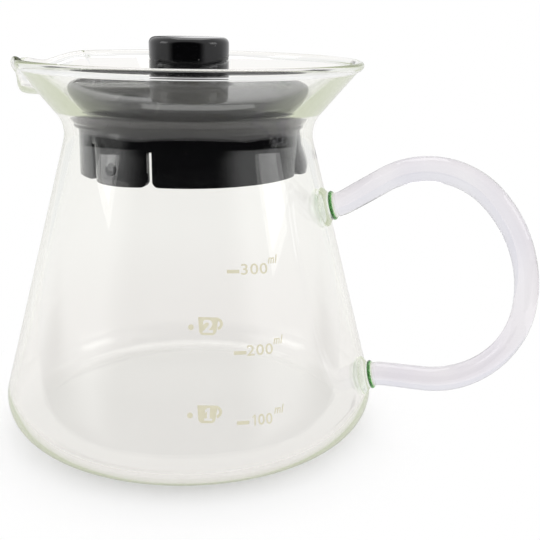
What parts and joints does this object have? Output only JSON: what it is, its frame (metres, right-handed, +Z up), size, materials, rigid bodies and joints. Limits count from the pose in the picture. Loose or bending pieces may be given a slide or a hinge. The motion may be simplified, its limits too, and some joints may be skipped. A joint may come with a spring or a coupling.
{
  "type": "coffee server carafe",
  "caption": "Blown glass coffee server: a cone that narrows to a waist, a funnel mouth with a pour spout, a bent glass rod handle, and a lift-off black lid with a knob and a slotted skirt",
  "frame": {"origin": "centre of the flat base, on the vessel's axis, on the surface it stands on", "axes": "+Z up along the vessel's axis, +X from the axis to the handle, -X to the pour spout"},
  "size_m": [0.1461, 0.1036, 0.1057],
  "materials": {
    "vessel_glass": "clear blown borosilicate glass with a pale green edge tint and a fire-polished rim",
    "rod_glass": "clear solid glass rod",
    "weld_glass": "fused glass, green where it is thick",
    "lid_plastic": "glossy black moulded plastic"
  },
  "bodies": {
    "vessel": {"glass_vessel": "vessel_glass", "handle": "rod_glass", "upper_weld": "weld_glass", "lower_weld": "weld_glass"},
    "lid": {"lid_plate": "lid_plastic", "lid_knob": "lid_plastic", "lid_skirt": "lid_plastic"}
  },
  "joints": [
    {"name": "lid_lift", "type": "slide", "parent": "vessel", "child": "lid", "axis": [0, 0, 1], "range_m": [0, 0.034]}
  ]
}
